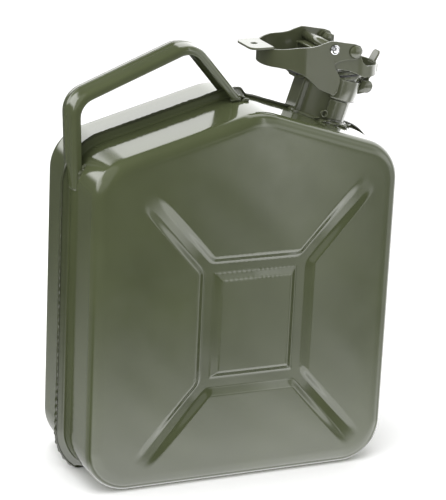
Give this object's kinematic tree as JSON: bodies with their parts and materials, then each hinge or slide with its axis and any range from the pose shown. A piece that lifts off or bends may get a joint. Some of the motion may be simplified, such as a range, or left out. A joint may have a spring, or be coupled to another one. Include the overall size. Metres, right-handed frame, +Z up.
{
  "type": "jerry can",
  "caption": "Slab-sided pressed steel fuel can with a channel carrying handle, slanted neck and lever-locked hinged lid.",
  "frame": {"origin": "middle of the base, on the ground", "axes": "+X towards the filler side, +Y from the front face to the back face, +Z up"},
  "size_m": [0.2456, 0.103, 0.3133],
  "materials": {
    "olive_paint": "gloss",
    "black_rubber": "matt",
    "zinc_plate": "bright",
    "plain_steel": "satin"
  },
  "bodies": {
    "can": {"front_shell": "olive_paint", "back_shell": "olive_paint", "seam_weld": "olive_paint", "carry_handle": "olive_paint", "handle_welds": "olive_paint", "neck_tube": "olive_paint", "mouth_flange": "olive_paint", "neck_weld": "olive_paint", "air_tube": "plain_steel", "hinge_bracket": "olive_paint", "hinge_pin": "olive_paint", "seal_bracket": "olive_paint"},
    "lid": {"lid_pan": "olive_paint", "lid_gasket": "black_rubber", "gasket_plate": "plain_steel", "lid_bridge": "olive_paint", "lid_rivet": "olive_paint", "yoke_strap": "olive_paint", "hinge_leaf": "olive_paint", "front_pivot_rivet": "olive_paint", "back_pivot_rivet": "olive_paint"},
    "lever": {"lever": "olive_paint", "press_pin": "zinc_plate"}
  },
  "joints": [
    {"name": "lid_hinge", "type": "hinge", "parent": "can", "child": "lid", "pos_m": [0.1047, 0, 0.27476], "axis": [0, 1, 0], "range_deg": [0, 120]},
    {"name": "lever_pivot", "type": "hinge", "parent": "lid", "child": "lever", "pos_m": [0.08618, 0, 0.30458], "axis": [0, 1, 0], "range_deg": [0, 90]}
  ]
}
